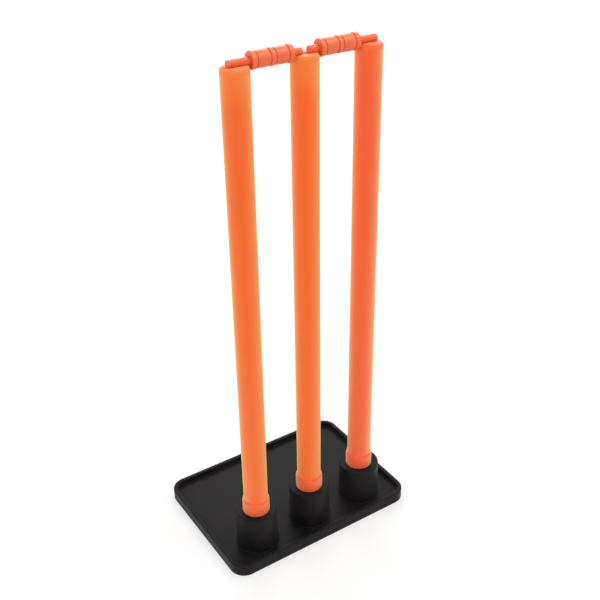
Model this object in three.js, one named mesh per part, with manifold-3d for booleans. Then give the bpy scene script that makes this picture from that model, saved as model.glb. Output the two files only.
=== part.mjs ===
// Cricket stumps: three hollow plastic stumps stand in the cups of a moulded rubber base and carry two bails.
// Millimetres, +Z up. The origin is the centre of the base's underside and +X runs along the row of stumps.
// The row stands nearer the front long edge, at -Y.

import * as THREE from "three";
import { mergeVertices } from "three/addons/utils/BufferGeometryUtils.js";
import Module from "manifold-3d";

// Tray of the base, with a raised rim all round
const baseLength = 316;
const baseWidth = 228;
const baseCornerRadius = 23.5;
const trayThickness = 10.5;
const rimRise = 8;
const rimWidth = 7;
const rimEdgeRadius = 1.8;

// Row of stumps
const stumpSpacing = 95.25;
const rowToCentre = 64; // from the row of stumps to the middle of the base

// Cup that holds a stump's foot
const cupHeight = 61.5; // above the tray floor
const cupMouthRadius = 31;
const cupFootRadius = 33;
const cupFootFillet = 3;
const cupMouthEdgeRadius = 1.6;
const socketDepth = 48;
const socketLeadIn = 1.8;

// Stump, from the underside of its foot to the top of its cap
const stumpLength = 711;
const stumpRadius = 18;
const tubeWall = 2.4;
const footLength = 70;
const footRadius = 20.2;
const footFloor = 5;
const footToeChamfer = 2;
const footShoulderHeight = 3.5;
const footShoulderLand = 0.6; // level ring round the tube, on top of the shoulder
const capLand = 3; // straight side of the cap's head
const capShoulderRadius = 4;
const capCrown = 5; // plastic between the groove and the hollow of the plug
const plugLength = 24;
const plugWall = 2.2;
const plugTaper = 0.5;

// Bail: a turned barrel between a long outer spigot and a short inner one
const spigotRadius = 5;
const spigotTipRadius = 4.7;
const spigotEdgeRadius = 0.9;
const bailRise = 3.6; // of the bail's axis above the caps
const longSpigotReach = 10; // past the axis of the outer stump
const spigotEndGap = 10; // between the two short spigots over the middle stump
const endBeadWidth = 6.5;
const endBeadRadius = 11;
const centreBeadWidth = 6;
const centreBeadRadius = 10.8;
const beadEdgeRadius = 1.3;
const swellRadius = 10.1; // at the ends of a swell
const swellBulge = 0.5;
const neckWidth = 1.3;
const neckRadius = 9.3;

// Clearances
const seatGap = 0.3; // between faces that rest on each other
const tubeFit = 0.2; // radial, tube in foot and plug in tube
const socketFit = 0.4; // radial, foot in socket
const grooveFit = 0.3; // radial, spigot in groove
const barrelEndGap = 1.1; // from a barrel's end to the stump beside it
const cutOverrun = 2; // of a cut past the face that it starts from

// Counts of facets
const roundSegments = 40;
const bailSegments = 24;
const cornerSegments = 5; // pairs of facets in a corner of the base
const filletSegments = 3;
const beadEdgeSegments = 2;
const swellSegments = 4;

// Places worked out from the sizes
const mouthHeight = trayThickness + cupHeight;
const stumpFootHeight = mouthHeight - socketDepth + seatGap;
const capHeadHeight = capLand + capShoulderRadius;
const bailHeight = stumpFootHeight + stumpLength + bailRise;
const grooveRadius = spigotRadius + grooveFit;
const barrelLength = stumpSpacing - 2 * (stumpRadius + barrelEndGap);
const longSpigotLength = stumpRadius + barrelEndGap + longSpigotReach;
const shortSpigotLength = stumpRadius + barrelEndGap - spigotEndGap / 2;
const sides = [
  { name: "left", x: -stumpSpacing },
  { name: "middle", x: 0 },
  { name: "right", x: stumpSpacing },
];

const materials = {
  rubber: new THREE.MeshStandardMaterial({ color: 0x1b1b1c, roughness: 0.72, metalness: 0 }),
  stump: new THREE.MeshStandardMaterial({ color: 0xf2662a, roughness: 0.42, metalness: 0 }),
  foot: new THREE.MeshStandardMaterial({ color: 0xf36a30, roughness: 0.4, metalness: 0 }),
  cap: new THREE.MeshStandardMaterial({ color: 0xf5722f, roughness: 0.4, metalness: 0 }),
  bail: new THREE.MeshStandardMaterial({ color: 0xf07048, roughness: 0.36, metalness: 0 }),
};

const wasm = await Module();
wasm.setup();

// A closed geometry as a solid that can be joined and cut.
function solid(geometry) {
  const bare = geometry.clone();
  bare.deleteAttribute("normal");
  bare.deleteAttribute("uv");
  const merged = mergeVertices(bare);
  return new wasm.Manifold(
    new wasm.Mesh({
      numProp: 3,
      vertProperties: merged.attributes.position.array,
      triVerts: new Uint32Array(merged.index.array),
    }),
  );
}

// The surface of a solid as a geometry.
function surface(made) {
  const mesh = made.getMesh();
  const geometry = new THREE.BufferGeometry();
  geometry.setAttribute("position", new THREE.BufferAttribute(mesh.vertProperties, mesh.numProp));
  geometry.setIndex(new THREE.BufferAttribute(mesh.triVerts, 1));
  geometry.computeVertexNormals();
  return geometry;
}

// A point of a turned profile, at a radius and a height.
function at(radius, height) {
  return new THREE.Vector2(radius, height);
}

// A round stretch of a profile about (x, y), between two angles in degrees.
function arc(x, y, radius, from, to, segments = filletSegments) {
  return Array.from({ length: segments + 1 }, (_, i) => {
    const angle = THREE.MathUtils.degToRad(from + ((to - from) * i) / segments);
    return at(x + radius * Math.cos(angle), y + radius * Math.sin(angle));
  });
}

// A profile turned about the Z axis.
function turned(profile, segments = roundSegments) {
  return new THREE.LatheGeometry(profile, segments).rotateX(Math.PI / 2);
}

// A rectangle with round corners, on a shape or on the path of a hole.
function roundedRectangle(path, length, width, radius) {
  const x = length / 2 - radius;
  const y = width / 2 - radius;
  path.absarc(x, -y, radius, -Math.PI / 2, 0);
  path.absarc(x, y, radius, 0, Math.PI / 2);
  path.absarc(-x, y, radius, Math.PI / 2, Math.PI);
  path.absarc(-x, -y, radius, Math.PI, 1.5 * Math.PI);
  path.closePath();
  return path;
}

// The base's outline, moved inwards.
function baseOutline(path, inset) {
  return roundedRectangle(path, baseLength - 2 * inset, baseWidth - 2 * inset, baseCornerRadius - inset);
}

// The raised rim, rounded on its upper edges, which reaches below the underside until it is trimmed.
function rim() {
  const outline = baseOutline(new THREE.Shape(), 0);
  outline.holes.push(baseOutline(new THREE.Path(), rimWidth));
  return new THREE.ExtrudeGeometry(outline, {
    depth: cutOverrun + trayThickness + rimRise - rimEdgeRadius,
    bevelThickness: rimEdgeRadius,
    bevelSize: rimEdgeRadius,
    bevelOffset: -rimEdgeRadius,
    bevelSegments: filletSegments,
    curveSegments: cornerSegments,
  }).translate(0, 0, -cutOverrun);
}

// The floor of the tray, which ends in the middle of the rim.
function trayFloor() {
  return new THREE.ExtrudeGeometry(baseOutline(new THREE.Shape(), rimWidth / 2), {
    depth: trayThickness,
    bevelEnabled: false,
    curveSegments: cornerSegments,
  });
}

// A drafted cup with a filleted foot and a rounded mouth, rooted in the tray floor.
function cup() {
  const draft = (cupFootRadius - cupMouthRadius) / cupHeight;
  const filletTop = cupFootRadius - draft * cupFootFillet;
  const filletCentre = filletTop + cupFootFillet;
  return turned([
    at(0, trayThickness / 2),
    at(filletCentre, trayThickness / 2),
    ...arc(filletCentre, trayThickness + cupFootFillet, cupFootFillet, 270, 180),
    ...arc(cupMouthRadius - cupMouthEdgeRadius, mouthHeight - cupMouthEdgeRadius, cupMouthEdgeRadius, 0, 90),
    at(0, mouthHeight),
  ]);
}

// The bore of a cup, with a lead-in at its mouth.
function socket() {
  const radius = footRadius + socketFit;
  return turned([
    at(0, mouthHeight - socketDepth),
    at(radius, mouthHeight - socketDepth),
    at(radius, mouthHeight - socketLeadIn),
    at(radius + socketLeadIn + cutOverrun, mouthHeight + cutOverrun),
    at(0, mouthHeight + cutOverrun),
  ]);
}

// The base in one moulding: tray, rim and three cups.
function rubberBase() {
  let made = solid(rim()).trimByPlane([0, 0, 1], 0).add(solid(trayFloor()));
  for (const { x } of sides) made = made.add(solid(cup().translate(x, -rowToCentre, 0)));
  for (const { x } of sides) made = made.subtract(solid(socket().translate(x, -rowToCentre, 0)));
  return surface(made);
}

// The stump's tube, open at both ends, from the foot's floor to the cap's head.
function stumpTube() {
  const inner = stumpRadius - tubeWall;
  const bottom = footFloor + seatGap;
  const top = stumpLength - capHeadHeight - seatGap;
  return turned([
    at(inner, bottom),
    at(stumpRadius, bottom),
    at(stumpRadius, top),
    at(inner, top),
    at(inner, bottom),
  ]);
}

// The wider foot: a sleeve with a floor that closes the tube's lower end, and a cone for a shoulder.
function stumpFoot() {
  const bore = stumpRadius + tubeFit;
  return turned([
    at(0, 0),
    at(footRadius - footToeChamfer, 0),
    at(footRadius, footToeChamfer),
    at(footRadius, footLength - footShoulderHeight),
    at(bore + footShoulderLand, footLength),
    at(bore, footLength),
    at(bore, footFloor),
    at(0, footFloor),
  ]);
}

// The cap: a head flush with the tube, rounded at its shoulder and grooved along X for the bails,
// on a hollow plug that goes down into the tube.
function stumpCap() {
  const seat = stumpLength - capHeadHeight;
  const grooveBottom = stumpLength + bailRise - grooveRadius;
  const plugRadius = stumpRadius - tubeWall - tubeFit;
  const head = turned([
    at(0, grooveBottom - capCrown),
    at(plugRadius - plugWall, grooveBottom - capCrown),
    at(plugRadius - plugWall, seat - plugLength),
    at(plugRadius - plugTaper, seat - plugLength),
    at(plugRadius, seat),
    at(stumpRadius, seat),
    ...arc(stumpRadius - capShoulderRadius, stumpLength - capShoulderRadius, capShoulderRadius, 0, 90),
    at(0, stumpLength),
  ]);
  const grooveLength = 2 * (stumpRadius + cutOverrun);
  const groove = new THREE.CylinderGeometry(grooveRadius, grooveRadius, grooveLength, bailSegments)
    .rotateZ(Math.PI / 2)
    .translate(0, 0, stumpLength + bailRise);
  return surface(solid(head).subtract(solid(groove)));
}

// A bead of a bail's profile, round on both edges, that starts at a height.
function bead(start, width, radius) {
  const inset = radius - beadEdgeRadius;
  return [
    ...arc(inset, start + beadEdgeRadius, beadEdgeRadius, -90, 0, beadEdgeSegments),
    ...arc(inset, start + width - beadEdgeRadius, beadEdgeRadius, 0, 90, beadEdgeSegments),
  ];
}

// A swelling stretch of a bail's barrel.
function swell(start, length) {
  return Array.from({ length: swellSegments + 1 }, (_, i) => {
    const fromMiddle = (2 * i) / swellSegments - 1;
    return at(swellRadius + swellBulge * (1 - fromMiddle ** 2), start + (length * i) / swellSegments);
  });
}

// The narrow neck beside a bead.
function neck(start) {
  return [at(neckRadius, start), at(neckRadius, start + neckWidth)];
}

// One end of a bail, round at its edge; the tip is at height 0.
function spigotTip() {
  const inset = spigotTipRadius - spigotEdgeRadius;
  return arc(inset, spigotEdgeRadius, spigotEdgeRadius, -90, 0, beadEdgeSegments);
}

// A bail along +X, with its long spigot at the +X end and the middle of its barrel at the origin.
function bail() {
  const swellLength = (barrelLength - 2 * endBeadWidth - centreBeadWidth - 4 * neckWidth) / 2;
  const turnings = [
    [endBeadWidth, (start) => bead(start, endBeadWidth, endBeadRadius)],
    [neckWidth, neck],
    [swellLength, (start) => swell(start, swellLength)],
    [neckWidth, neck],
    [centreBeadWidth, (start) => bead(start, centreBeadWidth, centreBeadRadius)],
    [neckWidth, neck],
    [swellLength, (start) => swell(start, swellLength)],
    [neckWidth, neck],
    [endBeadWidth, (start) => bead(start, endBeadWidth, endBeadRadius)],
  ];
  const length = shortSpigotLength + barrelLength + longSpigotLength;
  const profile = [at(0, 0), ...spigotTip(), at(spigotRadius, shortSpigotLength)];
  let start = shortSpigotLength;
  for (const [width, turning] of turnings) {
    profile.push(...turning(start));
    start += width;
  }
  profile.push(at(spigotRadius, start));
  profile.push(...spigotTip().reverse().map(({ x, y }) => at(x, length - y)));
  profile.push(at(0, length));
  return turned(profile, bailSegments)
    .translate(0, 0, -(shortSpigotLength + barrelLength / 2))
    .rotateY(Math.PI / 2);
}

// A named mesh of one piece.
function piece(name, geometry, material) {
  const mesh = new THREE.Mesh(geometry, material);
  mesh.name = name;
  return mesh;
}

// One stump, whose group stands on its socket's floor.
function stump({ name, x }) {
  const group = new THREE.Group();
  group.add(piece(`stump_tube_${name}`, stumpTube(), materials.stump.clone()));
  group.add(piece(`stump_foot_${name}`, stumpFoot(), materials.foot.clone()));
  group.add(piece(`stump_cap_${name}`, stumpCap(), materials.cap.clone()));
  group.position.set(x, -rowToCentre, stumpFootHeight);
  return group;
}

// One bail between the middle stump and an outer one, with its long spigot outwards.
function placedBail({ name, x }) {
  const mesh = piece(`bail_${name}`, bail(), materials.bail.clone());
  mesh.position.set(x / 2, -rowToCentre, bailHeight);
  mesh.rotation.z = x < 0 ? Math.PI : 0;
  return mesh;
}

const stumps = new THREE.Group();
stumps.add(piece("rubber_base", rubberBase(), materials.rubber));
for (const side of sides) stumps.add(stump(side));
for (const side of sides.filter(({ x }) => x !== 0)) stumps.add(placedBail(side));

export default stumps;
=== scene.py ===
"""Cricket stumps with their bails in a moulded rubber base, as a finished model in a plain studio.

Metres, +Z up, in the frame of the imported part: the origin is the centre of the base's underside, and
+X runs along the row of stumps, which stands near the front long edge at -Y.
"""

import logging
from dataclasses import dataclass, field
from enum import Enum
from math import cos, radians, sin
from typing import Any, Sequence

import bmesh
import bpy
import numpy as np
from mathutils import Matrix, Vector
from mathutils.geometry import delaunay_2d_cdt


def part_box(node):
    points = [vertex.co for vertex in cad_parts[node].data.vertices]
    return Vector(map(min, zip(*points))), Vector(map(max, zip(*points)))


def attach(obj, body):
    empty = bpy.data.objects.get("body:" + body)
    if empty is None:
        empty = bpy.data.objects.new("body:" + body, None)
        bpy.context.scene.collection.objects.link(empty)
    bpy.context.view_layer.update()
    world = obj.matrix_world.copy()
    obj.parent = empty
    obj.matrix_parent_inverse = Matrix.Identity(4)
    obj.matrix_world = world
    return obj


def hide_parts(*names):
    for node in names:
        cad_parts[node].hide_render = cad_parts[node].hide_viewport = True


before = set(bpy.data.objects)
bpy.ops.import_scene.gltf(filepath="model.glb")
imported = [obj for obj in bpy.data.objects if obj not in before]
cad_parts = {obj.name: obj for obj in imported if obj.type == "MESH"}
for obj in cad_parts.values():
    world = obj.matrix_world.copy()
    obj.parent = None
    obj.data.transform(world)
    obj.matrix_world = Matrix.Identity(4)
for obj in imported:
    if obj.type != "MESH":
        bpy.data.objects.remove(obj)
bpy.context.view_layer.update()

LOG = logging.getLogger("stumps")
MM = 0.001
WATTS_PER_LEVEL = np.pi**2  # a lamp of this many watts, 1 m off, lights a white face as a white sky would
Colour = tuple[float, float, float, float]
Socket = bpy.types.NodeSocket

# Shapes


class Side(Enum):
    """The three stumps of the row, as they stand seen from the front."""

    LEFT = "left"
    MIDDLE = "middle"
    RIGHT = "right"


class Facing(Enum):
    """How a turned piece lies: two directions across its axis, then the one along it."""

    UPWARDS = ((1, 0, 0), (0, 1, 0), (0, 0, 1))
    RIGHTWARDS = ((0, 1, 0), (0, 0, 1), (1, 0, 0))
    LEFTWARDS = ((0, -1, 0), (0, 0, 1), (-1, 0, 0))


@dataclass(frozen=True)
class Corner:
    """A corner of a section: how far out and how high it is, how round it is and how it wears.

    Wear is 1 on an edge that rubs pale, and -1 in a hollow, where the rubber and the moulded plastic paint
    shade in.
    """

    out: float
    up: float
    radius: float = 0.3 * MM
    wear: float = 0.0


@dataclass(frozen=True)
class Section:
    """Points (distance out, height) along the section of a piece, with the wear at each."""

    points: np.ndarray
    wear: np.ndarray

    def refined(self, spacing: float) -> "Section":
        """Adds points along the section, so that none is further than a spacing from the next.

        The section is read as a function of the length run along it, and sampled at its own points
        and at every whole multiple of the spacing.

        Args:
            spacing: Greatest length between two points.

        Returns:
            The section with the added points.
        """
        steps = np.linalg.norm(np.diff(self.points, axis=0), axis=1)
        run = np.concatenate([[0.0], np.cumsum(steps)])
        stops = np.union1d(run, np.arange(0.0, run[-1], spacing))
        out = np.interp(stops, run, self.points[:, 0])
        up = np.interp(stops, run, self.points[:, 1])
        return Section(np.column_stack([out, up]), np.interp(stops, run, self.wear))


def rounded_section(corners: Sequence[Corner], closed: bool = False) -> Section:
    """Rounds every corner of a section with an arc.

    The arc touches both sides of its corner at radius / tan(half the corner's angle) from it. Its
    centre lies on the bisector at radius / sin(half the angle), and its points come from turning the
    arm to one touching point evenly into the arm to the other. A support point stands on the
    straight beside each arc, so that smooth shading leaves flat faces flat.

    Args:
        corners: Corners in order. The two ends of an open section aren't rounded.
        closed: Whether the last corner goes back to the first.

    Returns:
        The rounded section.
    """
    steps, support = 7, 0.5 * MM
    table = np.array([(c.out, c.up, c.radius, c.wear) for c in corners])
    points, radius, wear = table[:, :2], table[:, 2:3].copy(), table[:, 3]
    if not closed:
        radius[[0, -1]] = 0.0
    back = np.roll(points, 1, axis=0) - points
    ahead = np.roll(points, -1, axis=0) - points
    length = np.linalg.norm(ahead, axis=1, keepdims=True)
    back = back / np.linalg.norm(back, axis=1, keepdims=True)
    ahead = ahead / length
    half = np.arccos(np.clip((back * ahead).sum(axis=1, keepdims=True), -1.0, 1.0)) / 2
    reach = radius / np.tan(half)
    middle = back + ahead
    middle = middle / np.maximum(np.linalg.norm(middle, axis=1, keepdims=True), 1e-12)
    centre = points + middle * radius / np.sin(half)
    sweep = (np.pi - 2 * half)[:, :, None]
    share = np.linspace(0.0, 1.0, steps)[None, :, None]
    arm = np.sin((1 - share) * sweep) * (points + back * reach - centre)[:, None]
    arm = arm + np.sin(share * sweep) * (points + ahead * reach - centre)[:, None]
    arcs = centre[:, None] + arm / np.maximum(np.sin(sweep), 1e-9)
    straight = length - reach - np.roll(reach, -1, axis=0)
    inner = slice(None) if closed else slice(None, -1)
    if (straight[inner] < -1e-9).any():
        raise ValueError(f"corners too round for their sides: {np.round(straight.ravel() / MM, 3)}")
    gap = np.clip(straight / 3, 0.0, support)
    leaving = points + ahead * (reach + gap)
    arriving = points + ahead * (reach + straight - gap)
    path = np.concatenate([arcs, leaving[:, None], arriving[:, None]], axis=1)
    rubbed = np.zeros(path.shape[:2])
    rubbed[:, :steps] = wear[:, None] * np.sin(np.pi * share[0, :, 0])
    keep = len(corners) * (steps + 2) - (0 if closed else 2)
    path, rubbed = path.reshape(-1, 2)[:keep], rubbed.reshape(-1)[:keep]
    if closed:
        path, rubbed = np.vstack([path, path[:1]]), np.append(rubbed, rubbed[0])
    return Section(path, rubbed)


def even_turn(count: int) -> np.ndarray:
    """Angles of a whole turn in equal steps, without the last, which is the first again."""
    return np.linspace(0.0, 2 * np.pi, count, endpoint=False)


def turned(section: Section, angles: np.ndarray, centre: Sequence[float], facing: Facing) -> np.ndarray:
    """Turns a section about an axis.

    Point (i, j) = centre + out(i)·(cos angle(j) across + sin angle(j) the other way across)
    + height(i) along the axis.

    Args:
        section: Section as distances from the axis and heights along it.
        angles: Angles of the columns.
        centre: Point of the axis at height 0.
        facing: Directions across and along the axis.

    Returns:
        Grid of points, one row for each point of the section.
    """
    across, other, along = np.array(facing.value, float)
    out, up = section.points[:, 0, None, None], section.points[:, 1, None, None]
    spoke = np.cos(angles)[:, None] * across + np.sin(angles)[:, None] * other
    return np.asarray(centre, float) + out * spoke + up * along


@dataclass
class Shell:
    """The patches of one closed surface, which are welded into a mesh once all are there."""

    name: str
    points: list[np.ndarray] = field(default_factory=list)
    triangles: list[np.ndarray] = field(default_factory=list)
    wear: list[np.ndarray] = field(default_factory=list)

    def add_patch(self, points: np.ndarray, triangles: np.ndarray, wear: np.ndarray) -> None:
        """Adds one patch of the surface.

        Args:
            points: Points of the patch, n by 3.
            triangles: Numbers of the three points of each triangle.
            wear: Wear at each point.
        """
        start = sum(len(earlier) for earlier in self.points)
        self.points.append(points)
        self.triangles.append(triangles + start)
        self.wear.append(wear)

    def add_grid(self, grid: np.ndarray, wear: np.ndarray) -> None:
        """Adds a grid of points whose last column joins its first, with two triangles to a cell.

        Args:
            grid: Points, rows by columns by 3.
            wear: Wear of each row, or of each point.
        """
        rows, columns = grid.shape[:2]
        index = np.arange(rows * columns).reshape(rows, columns)
        beside = np.roll(index, -1, axis=1)
        low = np.stack([index[:-1], beside[:-1], beside[1:]], axis=-1)
        high = np.stack([index[:-1], beside[1:], index[1:]], axis=-1)
        triangles = np.concatenate([low.reshape(-1, 3), high.reshape(-1, 3)])
        spread = np.broadcast_to(wear if wear.ndim == 2 else wear[:, None], (rows, columns))
        self.add_patch(grid.reshape(-1, 3), triangles, spread.reshape(-1))

    def build(self) -> bpy.types.Object:
        """Welds the patches where their points agree, and makes the smooth, outward-facing mesh.

        Returns:
            The object, at the origin, with the wear as a point attribute.
        """
        points = np.round(np.concatenate(self.points), 9) + 0.0
        welded, found = np.unique(points, axis=0, return_inverse=True)
        found = found.reshape(-1)
        wear = np.zeros(len(welded))
        wear[found] = np.concatenate(self.wear)
        triangles = found[np.concatenate(self.triangles)]
        first, second, third = triangles.T
        triangles = triangles[(first != second) & (second != third) & (third != first)]
        edges = np.sort(np.concatenate([triangles[:, :2], triangles[:, 1:], triangles[:, ::2]]), axis=1)
        uses = np.unique(edges, axis=0, return_counts=True)[1]
        if (uses != 2).any():
            raise ValueError(f"{self.name} isn't closed: {(uses != 2).sum()} loose edges")
        mesh = bpy.data.meshes.new(self.name)
        mesh.from_pydata(welded.tolist(), [], triangles.tolist())
        facing = bmesh.new()
        facing.from_mesh(mesh)
        bmesh.ops.recalc_face_normals(facing, faces=facing.faces)
        facing.to_mesh(mesh)
        facing.free()
        mesh.shade_smooth()
        mesh.attributes.new("wear", "FLOAT", "POINT").data.foreach_set("value", wear.astype(np.float32))
        made = bpy.data.objects.new(self.name, mesh)
        bpy.context.scene.collection.objects.link(made)
        return made


def flat_patch(outline: np.ndarray, holes: Sequence[np.ndarray]) -> tuple[np.ndarray, np.ndarray]:
    """Fills a flat, level region between a convex outline and its round holes.

    The points are joined by a constrained Delaunay triangulation. A triangle stays where its middle
    is further from every hole's centre than that hole's radius.

    Args:
        outline: Points of the outline, n by 3.
        holes: Points of each hole, n by 3.

    Returns:
        The points and the triangles between them.
    """
    loops = [outline, *holes]
    points = np.concatenate(loops)
    starts = np.cumsum([0, *map(len, loops)])[:-1]
    edges = [
        np.column_stack([np.arange(len(loop)), np.roll(np.arange(len(loop)), -1)]) + start
        for loop, start in zip(loops, starts)
    ]
    level = [Vector(point) for point in points[:, :2].tolist()]
    joined = delaunay_2d_cdt(level, np.concatenate(edges).tolist(), [], 0, 1e-9)
    source = np.array([origins[0] for origins in joined[3]])
    triangles = source[np.array(joined[2])]
    middles = points[triangles].mean(axis=1)
    open_floor = np.ones(len(triangles), bool)
    for hole in holes:
        centre = hole.mean(axis=0)
        open_floor &= np.linalg.norm(middles - centre, axis=1) > np.linalg.norm(hole[0] - centre)
    return points, triangles[open_floor]


# Finishes


class Graph:
    """The node tree of one material, with a short call for each kind of node the finishes use."""

    def __init__(self, name: str) -> None:
        """Starts an empty material.

        Args:
            name: Name of the material.
        """
        self.material = bpy.data.materials.new(name)
        self.material.use_nodes = True
        self.tree = self.material.node_tree
        self.tree.nodes.clear()
        self.place = self.node("ShaderNodeTexCoord").outputs["Object"]
        self.wear = self.node("ShaderNodeAttribute", attribute_name="wear").outputs["Fac"]

    def node(self, kind: str, inputs: dict[Any, Any] | None = None, **settings: Any) -> bpy.types.Node:
        """Adds a node.

        Args:
            kind: Blender's name of the node's type.
            inputs: Value or socket for each input, by its name or number.
            settings: Properties of the node.

        Returns:
            The node.
        """
        made = self.tree.nodes.new(kind)
        for name, value in settings.items():
            setattr(made, name, value)
        for key, value in (inputs or {}).items():
            if isinstance(value, bpy.types.NodeSocket):
                self.tree.links.new(value, made.inputs[key])
            else:
                made.inputs[key].default_value = value
        return made

    def stretched(self, upwards: float, turn: float = 0.0) -> Socket:
        """Turns Object coordinates about the Y axis and then scales them along the Z axis.

        Args:
            upwards: Scale along Z, under 1 for a pattern that is drawn out along it.
            turn: Angle about Y.

        Returns:
            The coordinates.
        """
        inputs = {"Vector": self.place, "Rotation": (0.0, turn, 0.0)}
        turned_place = self.node("ShaderNodeMapping", inputs).outputs[0]
        inputs = {"Vector": turned_place, "Scale": (1.0, 1.0, upwards)}
        return self.node("ShaderNodeMapping", inputs).outputs[0]

    def noise(self, size: float, detail: float = 2.0, place: Socket | None = None) -> Socket:
        """Noise from 0 to 1 whose largest blots measure about a size, in metres."""
        inputs = {"Vector": place or self.place, "Scale": 1 / size, "Detail": detail}
        return self.node("ShaderNodeTexNoise", inputs).outputs[0]

    def span(self, value: Socket, low: float, high: float, start: float = 0.0, end: float = 1.0) -> Socket:
        """Carries a value that runs from low to high over to start to end, held at both ends."""
        inputs = {0: value, 1: low, 2: high, 3: start, 4: end}
        return self.node("ShaderNodeMapRange", inputs).outputs[0]

    def maths(self, operation: str, first: Socket | float, second: Socket | float) -> Socket:
        """One sum of two values, such as ADD or MULTIPLY."""
        return self.node("ShaderNodeMath", {0: first, 1: second}, operation=operation).outputs[0]

    def mixed(self, share: Socket | float, first: Socket | Colour, second: Socket | Colour) -> Socket:
        """A colour between two colours."""
        inputs = {0: share, 6: first, 7: second}
        return self.node("ShaderNodeMix", inputs, data_type="RGBA").outputs[2]

    def relief(self, height: Socket, depth: float, under: Socket | None = None) -> Socket:
        """Tilts the surface direction as a relief would.

        Args:
            height: Height of the relief, from 0 to 1.
            depth: How far the relief rises, in metres.
            under: Surface direction of a relief below this one.

        Returns:
            The surface direction.
        """
        inputs: dict[Any, Any] = {"Height": height, "Distance": depth, "Strength": 1.0}
        if under:
            inputs["Normal"] = under
        return self.node("ShaderNodeBump", inputs).outputs[0]

    def finish(self, surface: Socket) -> bpy.types.Material:
        """Sends a shader to the output and gives the material."""
        self.node("ShaderNodeOutputMaterial", {"Surface": surface})
        return self.material


@dataclass(frozen=True)
class StumpPlastic:
    """Orange plastic of an extruded tube: long faint streaks, slow mottling, hair scratches.

    Colours are linear. Near the top the colour is painted a little lighter and yellower, as painted light
    falling from above.
    """

    name: str
    colour: Colour
    streak: Colour
    painted_light_share: float
    sheen_tint: Colour
    # Lighter, yellower colour painted near the top, as painted light from above.
    painted_light_colour: Colour = (0.93, 0.235, 0.045, 1.0)
    painted_light_from: float = 0.685
    painted_light_to: float = 0.735
    scratched: Colour = (0.95, 0.3, 0.14, 1.0)
    streak_width: float = 2.6 * MM
    streak_stretch: float = 0.012
    cloud_size: float = 55 * MM
    hair_width: float = 0.5 * MM
    hair_stretch: float = 0.02
    hair_turn: float = radians(7)
    grain_size: float = 1.1 * MM
    wave_depth: float = 0.02 * MM
    grain_depth: float = 0.006 * MM
    roughness: float = 0.38
    specular: float = 0.12
    sheen: float = 1.0
    sheen_roughness: float = 0.62

    def material(self) -> bpy.types.Material:
        """Builds the plastic.

        Returns:
            The material, which reads Object coordinates and the wear attribute.
        """
        graph = Graph(self.name)
        along = graph.noise(self.streak_width, 3.0, graph.stretched(self.streak_stretch))
        cloud = graph.noise(self.cloud_size)
        streaks, clouds = graph.maths("MULTIPLY", along, 0.55), graph.maths("MULTIPLY", cloud, 0.45)
        blend = graph.maths("ADD", streaks, clouds)
        colour = graph.mixed(graph.span(blend, 0.32, 0.68), self.colour, self.streak)
        height = graph.node("ShaderNodeSeparateXYZ", {0: graph.place}).outputs[2]
        # Painted light: from one height to the next the colour goes over to a lighter, yellower one, as
        # light from above.
        painted_light = graph.span(height, self.painted_light_from, self.painted_light_to, 0.0, self.painted_light_share)
        colour = graph.mixed(painted_light, colour, self.painted_light_colour)
        hairs = graph.noise(self.hair_width, 1.0, graph.stretched(self.hair_stretch, self.hair_turn))
        rubbed = graph.maths("MULTIPLY", graph.span(hairs, 0.7, 0.76), graph.span(cloud, 0.5, 0.62))
        edge = graph.maths("MULTIPLY", graph.span(graph.wear, 0.1, 1.0), 0.35)
        pale = graph.maths("MAXIMUM", graph.maths("MULTIPLY", rubbed, 0.25), edge)
        colour = graph.mixed(pale, colour, self.scratched)
        gloss = graph.maths("ADD", graph.span(along, 0.3, 0.7, -0.03, 0.04), self.roughness)
        gloss = graph.maths("ADD", gloss, graph.maths("MULTIPLY", pale, 0.2))
        waves = graph.relief(along, self.wave_depth)
        normal = graph.relief(graph.noise(self.grain_size), self.grain_depth, waves)
        inputs = {
            "Base Color": colour,
            "Roughness": gloss,
            "Normal": normal,
            "Specular IOR Level": self.specular,
            "Sheen Weight": self.sheen,
            "Sheen Roughness": self.sheen_roughness,
            "Sheen Tint": self.sheen_tint,
        }
        return graph.finish(graph.node("ShaderNodeBsdfPrincipled", inputs).outputs[0])


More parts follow.
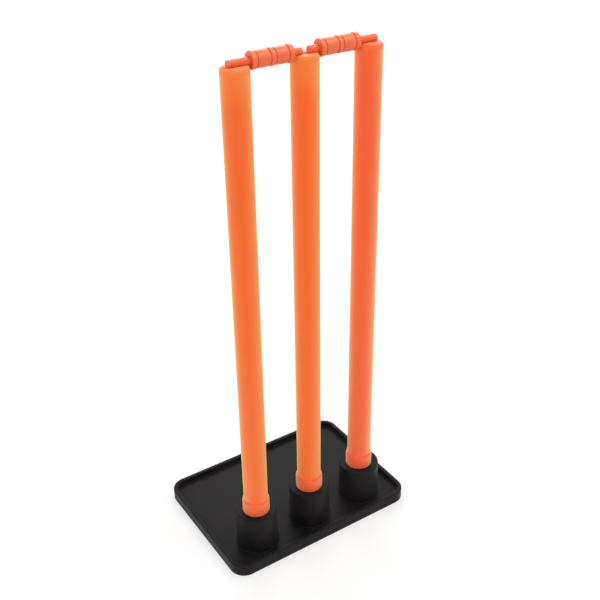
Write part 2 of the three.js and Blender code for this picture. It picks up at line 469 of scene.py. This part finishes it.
@dataclass(frozen=True)
class MouldedPlastic:
    """Plastic of a small moulding: soft flow marks, an even fine grain and paler rubbed edges.

    From one height to another the colour is painted paler towards the rubbed colour, a painted highlight
    on the side that faces the light. Creases, where the wear is negative, are painted darker, as painted
    shade.
    """

    name: str
    colour: Colour
    flow: Colour
    rubbed: Colour
    crease_shade_colour: Colour
    painted_shade_share: float = 0.5
    painted_light_share: float = 0.0
    painted_light_from: float = 0.0
    painted_light_to: float = 1.0
    flow_size: float = 9 * MM
    flow_stretch: float = 0.5
    flow_turn: float = radians(20)
    patch_size: float = 3 * MM
    grain_size: float = 0.7 * MM
    flow_depth: float = 0.05 * MM
    grain_depth: float = 0.008 * MM
    roughness: float = 0.36
    specular: float = 0.3
    sheen: float = 1.0
    sheen_roughness: float = 0.5
    sheen_tint: Colour = (1.0, 0.9, 0.57, 1.0)

    def material(self) -> bpy.types.Material:
        """Builds the plastic.

        Returns:
            The material, which reads Object coordinates and the wear attribute.
        """
        graph = Graph(self.name)
        swirl = graph.noise(self.flow_size, 3.0, graph.stretched(self.flow_stretch, self.flow_turn))
        colour = graph.mixed(graph.span(swirl, 0.35, 0.65), self.colour, self.flow)
        height = graph.node("ShaderNodeSeparateXYZ", {0: graph.place}).outputs[2]
        # Painted highlight: from one height to the next the colour is painted over to the rubbed colour,
        # paler on the side that faces the light.
        painted_light = graph.span(height, self.painted_light_from, self.painted_light_to, 0.0, self.painted_light_share)
        colour = graph.mixed(painted_light, colour, self.rubbed)
        patch = graph.span(graph.noise(self.patch_size, 3.0), 0.35, 0.65)
        edge = graph.maths("MULTIPLY", graph.span(graph.wear, 0.15, 1.0), patch)
        colour = graph.mixed(graph.maths("MULTIPLY", edge, 0.3), colour, self.rubbed)
        # Painted shade: where the wear is negative, in creases and recesses, the colour is painted darker.
        spread = graph.span(patch, 0.0, 1.0, self.painted_shade_share * 0.6, self.painted_shade_share)
        painted_crease_shade = graph.maths("MULTIPLY", graph.span(graph.wear, -0.1, -1.0), spread)
        colour = graph.mixed(painted_crease_shade, colour, self.crease_shade_colour)
        gloss = graph.maths("ADD", graph.span(swirl, 0.3, 0.7, -0.03, 0.05), self.roughness)
        gloss = graph.maths("ADD", gloss, graph.maths("MULTIPLY", edge, 0.15))
        waves = graph.relief(swirl, self.flow_depth)
        normal = graph.relief(graph.noise(self.grain_size), self.grain_depth, waves)
        inputs = {
            "Base Color": colour,
            "Roughness": gloss,
            "Normal": normal,
            "Specular IOR Level": self.specular,
            "Sheen Weight": self.sheen,
            "Sheen Roughness": self.sheen_roughness,
            "Sheen Tint": self.sheen_tint,
        }
        return graph.finish(graph.node("ShaderNodeBsdfPrincipled", inputs).outputs[0])


@dataclass(frozen=True)
class MouldedRubber:
    """Black rubber: a fine pebbled skin, a bloom in slow clouds, creases painted darker as painted shade,
    and paler scuffs on the edges, which on the rim's top edge are partly a painted highlight.
    """

    name: str = "moulded_rubber"
    colour: Colour = (0.0078, 0.0070, 0.0075, 1.0)
    bloom: Colour = (0.0160, 0.0138, 0.0142, 1.0)
    # Paler colour of scuffs, and on the rim's top edge also of a painted highlight.
    scuffs_and_painted_highlight: Colour = (0.026, 0.0235, 0.0235, 1.0)
    # Darker colour painted into creases, as painted shade.
    crease_shade_colour: Colour = (0.009, 0.008, 0.008, 1.0)
    cloud_size: float = 45 * MM
    patch_size: float = 5 * MM
    pore_size: float = 2.2 * MM
    skin_size: float = 0.8 * MM
    pore_depth: float = 0.03 * MM
    skin_depth: float = 0.02 * MM
    roughness: float = 0.43
    specular: float = 0.07
    sheen: float = 0.04
    sheen_roughness: float = 0.45

    def material(self) -> bpy.types.Material:
        """Builds the rubber.

        Returns:
            The material, which reads Object coordinates and the wear attribute.
        """
        graph = Graph(self.name)
        cloud = graph.noise(self.cloud_size, 4.0)
        skin = graph.noise(self.skin_size)
        pores = graph.noise(self.pore_size)
        colour = graph.mixed(graph.span(cloud, 0.36, 0.66), self.colour, self.bloom)
        colour = graph.mixed(graph.span(skin, 0.58, 0.78, 0.0, 0.35), colour, self.scuffs_and_painted_highlight)
        patch = graph.span(graph.noise(self.patch_size, 4.0), 0.36, 0.66)
        edge = graph.maths("MULTIPLY", graph.span(graph.wear, 0.2, 1.0), patch)
        colour = graph.mixed(graph.maths("MULTIPLY", edge, 0.55), colour, self.scuffs_and_painted_highlight)
        # Painted shade: creases at the rim's foot, the cups' feet and the sockets' floors are painted
        # darker.
        painted_crease_shade = graph.maths("MULTIPLY", graph.span(graph.wear, -0.1, -1.0), patch)
        colour = graph.mixed(graph.maths("MULTIPLY", painted_crease_shade, 0.35), colour, self.crease_shade_colour)
        gloss = graph.maths("ADD", graph.span(cloud, 0.3, 0.7, -0.05, 0.07), self.roughness)
        gloss = graph.maths("ADD", gloss, graph.maths("MULTIPLY", edge, 0.1))
        normal = graph.relief(pores, self.pore_depth, graph.relief(skin, self.skin_depth))
        inputs = {
            "Base Color": colour,
            "Roughness": gloss,
            "Normal": normal,
            "Specular IOR Level": self.specular,
            "Sheen Weight": self.sheen,
            "Sheen Roughness": self.sheen_roughness,
        }
        return graph.finish(graph.node("ShaderNodeBsdfPrincipled", inputs).outputs[0])


def dress(shell: Shell, material: bpy.types.Material, node: str, body: str) -> None:
    """Builds a piece, gives it its material and sets it on its body in place of its CAD node.

    Args:
        shell: Closed surface of the piece.
        material: Its finish.
        node: CAD node that it stands for.
        body: Body that it moves with.
    """
    piece = shell.build()
    piece.data.materials.append(material)
    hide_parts(node)
    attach(piece, body)
    LOG.info("%s: %d triangles, on %s", piece.name, len(piece.data.polygons), body)


def middle_of(node: str) -> np.ndarray:
    """The middle of a CAD node's box."""
    low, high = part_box(node)
    return np.array((low + high) / 2)


# Pieces


@dataclass
class RubberBase:
    """The base in one moulding: a tray with a raised rim, and a drafted cup for each stump."""

    finish: MouldedRubber
    corner_radius: float = 23.5 * MM
    corner_steps: int = 14
    side_steps: int = 12
    floor_height: float = 10.5 * MM
    rim_rise: float = 8 * MM
    rim_width: float = 7 * MM
    rim_edge: float = 1.8 * MM
    sole_edge: float = 0.5 * MM
    tray_crease: float = 1.4 * MM
    cup_mouth: float = 31 * MM
    cup_foot: float = 32.2 * MM
    cup_fillet: float = 1.6 * MM
    cup_edge: float = 1.6 * MM
    socket: float = 20.35 * MM
    socket_floor: float = 24 * MM
    socket_heel: float = 1 * MM
    lead_in: float = 0.4 * MM
    lead_in_edge: float = 0.5 * MM
    floor_margin: float = 1 * MM
    columns: int = 128

    def tray_section(self) -> Section:
        """The section of the tray's edge, as distance in from the outline and height.

        Returns:
            Section from the underside, up the outer wall, over the rim and down to the floor.
        """
        rim_top = self.floor_height + self.rim_rise
        floor_start = self.rim_width + self.tray_crease + self.floor_margin
        return rounded_section(
            [
                Corner(self.corner_radius / 2, 0.0),
                Corner(0.0, 0.0, self.sole_edge, 0.3),
                # Wear 1 on the rim's outer top edge paints it paler, partly as scuffing and partly as a
                # painted highlight.
                Corner(0.0, rim_top, self.rim_edge, 1.0),
                Corner(self.rim_width, rim_top, self.rim_edge, 0.3),
                # Wear -1 paints shade into the hollow at the rim's foot.
                Corner(self.rim_width, self.floor_height, self.tray_crease, -1.0),
                Corner(floor_start, self.floor_height),
            ]
        )

    def cup_section(self, mouth: float) -> Section:
        """The section of a cup, from the tray's floor over the mouth to the middle of its socket.

        Args:
            mouth: Height of the cup's mouth.

        Returns:
            Section as distances from the cup's axis and heights.
        """
        floor_end = self.cup_foot + self.cup_fillet + self.floor_margin
        return rounded_section(
            [
                Corner(floor_end, self.floor_height),
                # Wear -1 paints shade into the hollows at the cup's foot and the socket's floor.
                Corner(self.cup_foot, self.floor_height, self.cup_fillet, -1.0),
                Corner(self.cup_mouth, mouth, self.cup_edge, 0.6),
                Corner(self.socket + self.lead_in, mouth, self.lead_in_edge, 0.3),
                Corner(self.socket, mouth - self.lead_in, self.lead_in_edge),
                Corner(self.socket, self.socket_floor, self.socket_heel, -1.0),
                Corner(0.0, self.socket_floor),
            ]
        )

    def carried_round(self, section: Section, length: float, width: float) -> np.ndarray:
        """Carries the tray's section round its outline, a rectangle with round corners.

        Point (i, j) = spine(j) + (corner radius - inset(i))·outwards(j), raised by height(i). The
        spine runs through the centres of the corners, and outwards turns by a quarter at each.

        Args:
            section: Section as insets and heights.
            length: Length of the outline.
            width: Width of the outline.

        Returns:
            Grid of points, one row for each point of the section.
        """
        x, y = length / 2 - self.corner_radius, width / 2 - self.corner_radius
        centres = np.array([(x, y), (-x, y), (-x, -y), (x, -y)])
        quarter = np.linspace(0.0, np.pi / 2, self.corner_steps + 1)
        angles = quarter + np.arange(4)[:, None] * np.pi / 2
        share = np.linspace(0.0, 1.0, self.side_steps + 1)[1:-1, None]
        beside = np.roll(centres, -1, axis=0)
        sides = centres[:, None] * (1 - share) + beside[:, None] * share
        corners = np.broadcast_to(centres[:, None], (*angles.shape, 2))
        spine = np.concatenate([corners, sides], axis=1).reshape(-1, 2)
        straight = np.broadcast_to(angles[:, -1:], sides.shape[:2])
        turn = np.concatenate([angles, straight], axis=1).reshape(-1)
        outwards = np.column_stack([np.cos(turn), np.sin(turn)])
        level = spine + (self.corner_radius - section.points[:, :1, None]) * outwards
        height = np.broadcast_to(section.points[:, 1:, None], (*level.shape[:2], 1))
        return np.concatenate([level, height], axis=2)

    def build(self) -> None:
        """Builds the base on the CAD node's box and dresses it."""
        low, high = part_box("rubber_base")
        shell = Shell("rubber_base_moulding")
        edge = self.tray_section()
        tray = self.carried_round(edge, high.x - low.x, high.y - low.y)
        underside = np.zeros((1, tray.shape[1], 3))
        shell.add_grid(np.concatenate([underside, tray]), np.append(0.0, edge.wear))
        cup = self.cup_section(high.z)
        rings = []
        for side in Side:
            axis = middle_of(f"stump_foot_{side.value}")
            grid = turned(cup, even_turn(self.columns), (axis[0], axis[1], 0.0), Facing.UPWARDS)
            shell.add_grid(grid, cup.wear)
            rings.append(grid[0])
        points, triangles = flat_patch(tray[-1], rings)
        shell.add_patch(points, triangles, np.zeros(len(points)))
        dress(shell, self.finish.material(), "rubber_base", "base")


@dataclass
class Stump:
    """One stump: a tube, the wider foot round its lower end and the grooved cap in its top."""

    side: Side
    tube_finish: StumpPlastic
    foot_finish: MouldedPlastic
    cap_finish: MouldedPlastic
    tube_wall: float = 2.4 * MM
    tube_edge: float = 0.06 * MM
    foot_bore: float = 18.2 * MM
    foot_lip: float = 18.04 * MM
    foot_lip_depth: float = 2 * MM
    foot_lip_edge: float = 0.05 * MM
    foot_bore_edge: float = 0.2 * MM
    foot_floor: float = 5 * MM
    foot_heel: float = 0.4 * MM
    foot_toe: float = 2 * MM
    shoulder_height: float = 3.5 * MM
    shoulder_blend: float = 8 * MM
    shoulder_land: float = 0.4 * MM
    shoulder_edge: float = 0.25 * MM
    cap_seam: float = 0.05 * MM
    shoulder_radius: float = 4 * MM
    groove_radius: float = 5.3 * MM
    crown: float = 5 * MM
    plug_radius: float = 15.4 * MM
    plug_wall: float = 2.2 * MM
    plug_taper: float = 0.5 * MM
    plug_outer_edge: float = 0.6 * MM
    plug_inner_edge: float = 0.3 * MM
    crown_fillet: float = 0.8 * MM
    columns: int = 144
    cap_columns: int = 288
    cap_spacing: float = 0.35 * MM
    groove_blend: float = 0.5 * MM
    groove_wear: float = 0.45 * MM

    def tube(self) -> Shell:
        """The tube as a closed section, turned: out at the bottom, up the wall and down the bore.

        Returns:
            The tube's shell.
        """
        low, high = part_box(f"stump_tube_{self.side.value}")
        radius = (high.x - low.x) / 2
        bore = radius - self.tube_wall
        section = rounded_section(
            [
                Corner(bore, low.z, self.tube_edge),
                Corner(radius, low.z, self.tube_edge),
                Corner(radius, high.z, self.tube_edge),
                Corner(bore, high.z, self.tube_edge),
            ],
            closed=True,
        )
        shell = Shell(f"stump_tube_{self.side.value}_extrusion")
        shell.add_grid(self.round_axis(section, low, high, self.columns), section.wear)
        return shell

    def foot(self) -> Shell:
        """The foot: a sleeve with a floor, a rounded toe and a short cone for a shoulder.

        Returns:
            The foot's shell.
        """
        low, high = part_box(f"stump_foot_{self.side.value}")
        radius = (high.x - low.x) / 2
        section = rounded_section(
            [
                Corner(0.0, low.z),
                Corner(radius, low.z, self.foot_toe, 0.3),
                # The wear on the shoulder's cone paints it paler, partly as rubbing and partly as painted
                # sheen on the upward-facing cone.
                Corner(radius, high.z - self.shoulder_height, self.shoulder_blend, 0.6),
                Corner(self.foot_lip + self.shoulder_land, high.z, self.shoulder_edge, 0.3),
                Corner(self.foot_lip, high.z, self.foot_lip_edge),
                Corner(self.foot_bore, high.z - self.foot_lip_depth, self.foot_bore_edge),
                Corner(self.foot_bore, low.z + self.foot_floor, self.foot_heel),
                Corner(0.0, low.z + self.foot_floor),
            ]
        )
        shell = Shell(f"stump_foot_{self.side.value}_moulding")
        shell.add_grid(self.round_axis(section, low, high, self.columns), section.wear)
        return shell

    def cap(self) -> Shell:
        """The cap: a round-shouldered head on a hollow plug, with the bails' groove pressed across it.

        The head's height is the lower of its turned dome and the groove's cylinder, whose height is
        axis - sqrt(radius² - y²). Near where they meet, the two are blended over a short step, which
        rounds the groove's edges.

        Returns:
            The cap's shell.
        """
        low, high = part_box(f"stump_cap_{self.side.value}")
        radius = (high.x - low.x) / 2
        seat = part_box(f"stump_tube_{self.side.value}")[1].z + self.cap_seam
        axis = middle_of("bail_left")[2]
        ceiling = axis - self.groove_radius - self.crown
        hollow = self.plug_radius - self.plug_wall
        head = rounded_section(
            [
                Corner(0.0, high.z),
                Corner(radius, high.z, self.shoulder_radius, 0.5),
                Corner(radius, seat, self.tube_edge),
                Corner(self.plug_radius, seat, self.tube_edge),
                Corner(self.plug_radius - self.plug_taper, low.z, self.plug_outer_edge),
                Corner(hollow, low.z, self.plug_inner_edge),
                Corner(hollow, ceiling, self.crown_fillet),
                Corner(0.0, ceiling),
            ]
        )
        top = np.cumprod(head.points[:, 1] >= seat + self.tube_edge * 2).astype(bool)
        fine = Section(head.points[top], head.wear[top]).refined(self.cap_spacing)
        grid = self.round_axis(fine, low, high, self.cap_columns)
        across = grid[:, :, 1] - (low.y + high.y) / 2
        groove = axis - np.sqrt(np.maximum(self.groove_radius**2 - across**2, 0.0))
        dome = grid[:, :, 2]
        share = np.clip(0.5 + (groove - dome) / (2 * self.groove_blend), 0.0, 1.0)
        blended = groove * (1 - share) + dome * share - self.groove_blend * share * (1 - share)
        rim = np.exp(-(((groove - dome) / self.groove_wear) ** 2))
        grid[:, :, 2] = blended
        wear = np.maximum(fine.wear[:, None] * np.ones_like(rim), 0.9 * rim)
        below = Section(head.points[~top], head.wear[~top])
        rest = self.round_axis(below, low, high, self.cap_columns)
        shell = Shell(f"stump_cap_{self.side.value}_moulding")
        spread = below.wear[:, None] * np.ones((1, self.cap_columns))
        shell.add_grid(np.concatenate([grid, rest]), np.concatenate([wear, spread]))
        return shell

    def round_axis(self, section: Section, low: Vector, high: Vector, columns: int) -> np.ndarray:
        """Turns a section about the upright axis through the middle of a box.

        Args:
            section: Section as distances from the axis and heights.
            low: Lowest corner of the box.
            high: Highest corner of the box.
            columns: Count of columns in a whole turn.

        Returns:
            Grid of points.
        """
        centre = ((low.x + high.x) / 2, (low.y + high.y) / 2, 0.0)
        return turned(section, even_turn(columns), centre, Facing.UPWARDS)

    def build(self) -> None:
        """Builds the three pieces of the stump and dresses them."""
        side = self.side.value
        body = f"stump_{side}"
        dress(self.tube(), self.tube_finish.material(), f"stump_tube_{side}", body)
        dress(self.foot(), self.foot_finish.material(), f"stump_foot_{side}", body)
        dress(self.cap(), self.cap_finish.material(), f"stump_cap_{side}", body)


@dataclass
class Bail:
    """A turned bail: a barrel of two swells between three beads, with a spigot at each end."""

    side: Side
    finish: MouldedPlastic
    spigot: float = 5 * MM
    spigot_tip: float = 4.7 * MM
    spigot_edge: float = 0.9 * MM
    spigot_root: float = 0.4 * MM
    long_spigot: float = 29.1 * MM
    short_spigot: float = 14.1 * MM
    end_bead: float = 11 * MM
    end_bead_width: float = 6.5 * MM
    centre_bead: float = 10.8 * MM
    centre_bead_width: float = 6 * MM
    bead_edge: float = 1.3 * MM
    swell: float = 10.1 * MM
    swell_bulge: float = 0.5 * MM
    swell_share: float = 0.9
    swell_edge: float = 0.25 * MM
    neck: float = 9.3 * MM
    neck_width: float = 1.3 * MM
    neck_heel: float = 0.2 * MM
    columns: int = 96
    seam_height: float = 0.09 * MM
    seam_width: float = 0.25 * MM
    seam_start: float = 0.6
    seam_columns: tuple[float, ...] = (0.15 * MM, 0.3 * MM, 0.5 * MM, 0.9 * MM)
    painted_shade_reach: float = 3 * MM
    neck_margin: float = 0.15 * MM
    spacing: float = 0.7 * MM

    def section(self, length: float) -> Section:
        """The section of the bail from its short spigot's tip at height 0 to its long one's tip.

        Args:
            length: Length of the whole bail.

        Returns:
            Section as distances from the bail's axis and lengths along it.
        """
        barrel_end = length - self.long_spigot
        swells = barrel_end - self.short_spigot - 2 * self.end_bead_width - self.centre_bead_width
        swell_length = swells / 2 - 2 * self.neck_width
        corners = [
            Corner(0.0, 0.0),
            Corner(self.spigot_tip, 0.0, self.spigot_edge, 0.8),
            Corner(self.spigot, self.short_spigot, self.spigot_root, -1.0),
        ]
        start = self.short_spigot
        for width, radius in (
            (self.end_bead_width, self.end_bead),
            (swell_length, None),
            (self.centre_bead_width, self.centre_bead),
            (swell_length, None),
            (self.end_bead_width, self.end_bead),
        ):
            if radius is None:
                corners += self.swell_corners(start, width)
                start += width + 2 * self.neck_width
            else:
                corners.append(Corner(radius, start, self.bead_edge, 1.0))
                corners.append(Corner(radius, start + width, self.bead_edge, 1.0))
                start += width
        corners.append(Corner(self.spigot, barrel_end, self.spigot_root, -1.0))
        corners.append(Corner(self.spigot_tip, length, self.spigot_edge, 0.8))
        corners.append(Corner(0.0, length))
        return rounded_section(corners)

    def swell_corners(self, start: float, length: float) -> list[Corner]:
        """The two necks round a swell, and the swell as one broad arc between them.

        Args:
            start: Where the first neck starts, along the bail.
            length: Length of the swell.

        Returns:
            Corners in order along the bail.
        """
        first, last = start + self.neck_width, start + self.neck_width + length
        lift = 2 * self.swell_bulge
        broad = (length / 2 * self.swell_share) ** 2 / lift
        return [
            Corner(self.neck, start, self.neck_heel, -1.0),
            Corner(self.neck, first, self.swell_edge, -1.0),
            Corner(self.swell, first, self.swell_edge, 0.8),
            Corner(self.swell + lift, (first + last) / 2, broad),
            Corner(self.swell, last, self.swell_edge, 0.8),
            Corner(self.neck, last, self.swell_edge, -1.0),
            Corner(self.neck, last + self.neck_width, self.neck_heel, -1.0),
        ]

    def with_painted_shade(self, section: Section, length: float) -> Section:
        """Paints shade darker into the necks and round the roots of the spigots.

        Round a root the painted shade is exp(-(distance / reach)²), and in a neck it is 1.

        Args:
            section: Section of the bail.
            length: Length of the whole bail.

        Returns:
            The section with more points, whose wear is -1 where the painted shade is 1.
        """
        fine = section.refined(self.spacing)
        out, up = fine.points.T
        roots = np.array([(self.spigot, self.short_spigot), (self.spigot, length - self.long_spigot)])
        away = np.linalg.norm(fine.points[:, None] - roots, axis=2).min(axis=1)
        barrel = np.abs(up - roots[:, 1].mean()) < np.ptp(roots[:, 1]) / 2 - self.bead_edge
        neck = barrel & (out < self.swell - self.neck_margin)
        # Painted shade: darker round the spigots' roots and all along the necks.
        painted_shade_share = np.maximum(np.exp(-((away / self.painted_shade_reach) ** 2)), neck)
        return Section(fine.points, fine.wear * (1 - painted_shade_share) - painted_shade_share)

    def build(self) -> None:
        """Builds the bail on its CAD node's box and dresses it.

        Along the two sides of the bail, each ring stands out by a small bell curve, as the seam
        where the halves of a mould meet.
        """
        node = f"bail_{self.side.value}"
        low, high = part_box(node)
        section = self.with_painted_shade(self.section(high.x - low.x), high.x - low.x)
        outwards = self.side is Side.RIGHT
        facing = Facing.RIGHTWARDS if outwards else Facing.LEFTWARDS
        start = (low.x if outwards else high.x, (low.y + high.y) / 2, (low.z + high.z) / 2)
        near = np.array(self.seam_columns) / self.end_bead
        seams = (np.array([0.0, np.pi])[:, None] + np.append(-near, near)).reshape(-1) % (2 * np.pi)
        angles = np.union1d(even_turn(self.columns), seams)
        away = np.abs(np.sin(angles)) * section.points[:, :1]
        raised = self.seam_height * np.exp(-((away / self.seam_width) ** 2))
        raised = raised * np.clip(section.points[:, :1] / self.spigot_tip - self.seam_start, 0.0, 1.0)
        grid = turned(section, angles, start, facing)
        spokes = grid - np.array(start) * (0, 1, 1)
        spokes[:, :, 0] = 0.0
        reach = np.maximum(np.linalg.norm(spokes, axis=2), 1e-9)
        grid = grid + spokes * (raised / reach)[:, :, None]
        shell = Shell(f"{node}_turning")
        shell.add_grid(grid, section.wear)
        dress(shell, self.finish.material(), node, node)


# Studio


@dataclass
class Lamp:
    """A square soft lamp that points at a spot."""

    name: str
    place: tuple[float, float, float]
    target: tuple[float, float, float]
    size: float
    level: float

    def build(self) -> None:
        """Makes the lamp, whose level is the share of a white sky's light that it adds at its spot."""
        light = bpy.data.lights.new(self.name, "AREA")
        light.shape = "SQUARE"
        light.size = self.size
        offset = Vector(self.place) - Vector(self.target)
        light.energy = self.level * WATTS_PER_LEVEL * offset.length_squared
        lamp = bpy.data.objects.new(self.name, light)
        lamp.location = self.place
        lamp.rotation_euler = offset.to_track_quat("Z", "Y").to_euler()
        lamp.visible_camera = False
        bpy.context.scene.collection.objects.link(lamp)
        LOG.info("%s: %.1f W", self.name, light.energy)


@dataclass
class Studio:
    """A pale floor without an end, an even sky and soft lamps."""

    floor_radius: float = 40.0
    floor_sides: int = 64
    floor_drop: float = 0.2 * MM
    floor_colour: Colour = (0.86, 0.86, 0.86, 1.0)
    floor_fade: float = 0.5
    glow_reach: tuple[float, float] = (0.4, 0.9)
    floor_glow: tuple[float, float] = (1.15, 1.32)
    sky: float = 0.85
    lamps: tuple[Lamp, ...] = (
        Lamp("overhead_lamp", (0.75, -0.56, 2.06), (0.0, -0.064, 0.7), 0.8, 0.17),
        Lamp("back_lamp", (1.12, 1.93, 2.0), (0.0, 0.0, 0.1), 1.3, 0.24),
        Lamp("fill_lamp", (-1.8, -1.3, 1.3), (0.0, -0.064, 0.3), 1.2, 0.11),
    )

    def shown_white(self, graph: Graph) -> Socket:
        """Tells which rays show the background, be it straight, mirrored or through glass.

        Args:
            graph: Node tree that the value goes into.

        Returns:
            1 for those rays and 0 for all others.
        """
        path = graph.node("ShaderNodeLightPath").outputs
        seen = graph.maths("MAXIMUM", path["Is Camera Ray"], path["Is Glossy Ray"])
        return graph.maths("MAXIMUM", seen, path["Is Transmission Ray"])

    def floor(self) -> None:
        """Makes the floor, a wide disc just under the base that shows white but keeps shadows."""
        angles = even_turn(self.floor_sides)
        ring = np.column_stack([np.cos(angles), np.sin(angles)]) * self.floor_radius
        points = np.column_stack([ring, np.full(len(ring), -self.floor_drop)])
        mesh = bpy.data.meshes.new("studio_floor")
        mesh.from_pydata(points.tolist(), [], [list(range(len(points)))])
        graph = Graph("studio_floor")
        away = graph.node("ShaderNodeVectorMath", {0: graph.place}, operation="LENGTH").outputs["Value"]
        fade = graph.maths("MULTIPLY", self.shown_white(graph), self.floor_fade)
        paint = graph.node("ShaderNodeBsdfDiffuse", {"Color": self.floor_colour}).outputs[0]
        strength = graph.span(away, *self.glow_reach, *self.floor_glow)
        glow = graph.node("ShaderNodeEmission", {"Strength": strength})
        shown = graph.node("ShaderNodeMixShader", {0: fade, 1: paint, 2: glow.outputs[0]})
        mesh.materials.append(graph.finish(shown.outputs[0]))
        floor = bpy.data.objects.new("studio_floor", mesh)
        bpy.context.scene.collection.objects.link(floor)

    def world(self) -> None:
        """Makes the even sky, which shows as plain white."""
        world = bpy.data.worlds.new("studio_sky")
        world.use_nodes = True
        tree = world.node_tree
        path = tree.nodes.new("ShaderNodeLightPath").outputs
        seen: Socket = path["Is Camera Ray"]
        for other in ("Is Glossy Ray", "Is Transmission Ray"):
            either = tree.nodes.new("ShaderNodeMath")
            either.operation = "MAXIMUM"
            tree.links.new(seen, either.inputs[0])
            tree.links.new(path[other], either.inputs[1])
            seen = either.outputs[0]
        strength = tree.nodes.new("ShaderNodeMapRange")
        strength.inputs["To Min"].default_value = self.sky
        tree.links.new(seen, strength.inputs["Value"])
        background = tree.nodes["Background"]
        background.inputs["Color"].default_value = (1.0, 1.0, 1.0, 1.0)
        tree.links.new(strength.outputs[0], background.inputs["Strength"])
        bpy.context.scene.world = world

    def build(self) -> None:
        """Makes the floor, the sky and the lamps."""
        self.floor()
        self.world()
        for lamp in self.lamps:
            lamp.build()


@dataclass
class PhotoCamera:
    """The camera where the photograph was taken from, found from the object's measured outline."""

    place: tuple[float, float, float] = (-0.58312, -0.94378, 1.01076)
    azimuth: float = -33.006
    elevation: float = 30.063
    roll: float = -0.856
    lens: float = 53.575
    sensor: float = 36.0
    nearest: float = 0.01
    furthest: float = 200.0

    def build(self) -> None:
        """Makes the camera and sets it as the scene's.

        It looks along the direction of its azimuth and elevation, then turns about that direction by
        its roll.
        """
        azimuth, elevation, roll = map(radians, (self.azimuth, self.elevation, self.roll))
        back = Vector((sin(azimuth) * cos(elevation), -cos(azimuth) * cos(elevation), sin(elevation)))
        right = Vector((0.0, 0.0, 1.0)).cross(back).normalized()
        up = back.cross(right)
        level = Matrix((right * cos(roll) + up * sin(roll), up * cos(roll) - right * sin(roll), back))
        data = bpy.data.cameras.new("photo_camera")
        data.lens = self.lens
        data.sensor_width = self.sensor
        data.clip_start, data.clip_end = self.nearest, self.furthest
        camera = bpy.data.objects.new("photo_camera", data)
        camera.matrix_world = Matrix.Translation(self.place) @ level.transposed().to_4x4()
        bpy.context.scene.collection.objects.link(camera)
        bpy.context.scene.camera = camera


def main() -> None:
    """Builds the base, the stumps, the bails and the studio, in that order."""
    logging.basicConfig(level=logging.INFO, format="%(message)s")
    bpy.context.scene.view_settings.view_transform = "Standard"
    RubberBase(MouldedRubber()).build()
    tubes = {
        Side.LEFT: StumpPlastic(
            "extruded_plastic_left",
            (0.91, 0.077, 0.001, 1.0),
            (0.94, 0.094, 0.003, 1.0),
            painted_light_share=0.55,
            sheen_tint=(1.0, 0.88, 0.36, 1.0),
        ),
        Side.MIDDLE: StumpPlastic(
            "extruded_plastic_middle",
            (0.91, 0.087, 0.001, 1.0),
            (0.94, 0.103, 0.003, 1.0),
            painted_light_share=0.65,
            sheen_tint=(1.0, 0.9, 0.38, 1.0),
        ),
        Side.RIGHT: StumpPlastic(
            "extruded_plastic_right",
            (0.91, 0.064, 0.006, 1.0),
            (0.94, 0.079, 0.010, 1.0),
            painted_light_share=0.2,
            sheen_tint=(1.0, 0.92, 0.46, 1.0),
        ),
    }
    feet = {
        Side.LEFT: ((0.93, 0.098, 0.01, 1.0), (0.95, 0.108, 0.014, 1.0)),
        Side.MIDDLE: ((0.93, 0.09, 0.007, 1.0), (0.95, 0.1, 0.01, 1.0)),
        Side.RIGHT: ((0.93, 0.084, 0.012, 1.0), (0.95, 0.094, 0.016, 1.0)),
    }
    # The caps' colours are painted lighter and yellower than the tubes, as painted light from above on the
    # tops of the stumps.
    heads = {
        Side.LEFT: ((0.93, 0.198, 0.03, 1.0), (0.95, 0.213, 0.036, 1.0)),
        Side.MIDDLE: ((0.93, 0.206, 0.03, 1.0), (0.95, 0.221, 0.036, 1.0)),
        Side.RIGHT: ((0.93, 0.14, 0.028, 1.0), (0.95, 0.155, 0.034, 1.0)),
    }
    # The second colour paints shade into creases. The feet and caps have no creases, so it doesn't show on
    # them.
    rubbed, crease_shade_colour = (0.95, 0.32, 0.16, 1.0), (0.55, 0.07, 0.02, 1.0)
    for side, tube in tubes.items():
        foot = MouldedPlastic(f"foot_plastic_{side.value}", *feet[side], rubbed, crease_shade_colour)
        cap = MouldedPlastic(
            f"cap_plastic_{side.value}",
            *heads[side],
            rubbed,
            crease_shade_colour,
            roughness=0.46,
            specular=0.2,
            sheen=0.7,
        )
        Stump(side, tube, foot, cap).build()
    axis = middle_of("bail_left")[2]
    for side in (Side.LEFT, Side.RIGHT):
        plastic = MouldedPlastic(
            f"bail_plastic_{side.value}",
            colour=(0.85, 0.105, 0.018, 1.0),
            flow=(0.86, 0.128, 0.028, 1.0),
            # The rubbed colour paints both the bail's rubbed edges and the painted highlight on its upper
            # half.
            rubbed=(0.92, 0.22, 0.06, 1.0),
            # Painted shade: the necks and the roots of the spigots are painted a darker red.
            crease_shade_colour=(0.6, 0.045, 0.012, 1.0),
            painted_shade_share=0.6,
            # Painted highlight: from 1 mm to 7 mm above the axis the bail's upper half is painted paler.
            painted_light_share=0.55,
            painted_light_from=axis + 1 * MM,
            painted_light_to=axis + 7 * MM,
            roughness=0.33,
            specular=0.65,
            sheen=0.0,
        )
        Bail(side, plastic).build()
    Studio().build()
    PhotoCamera().build()


if __name__ == "__main__":
    main()
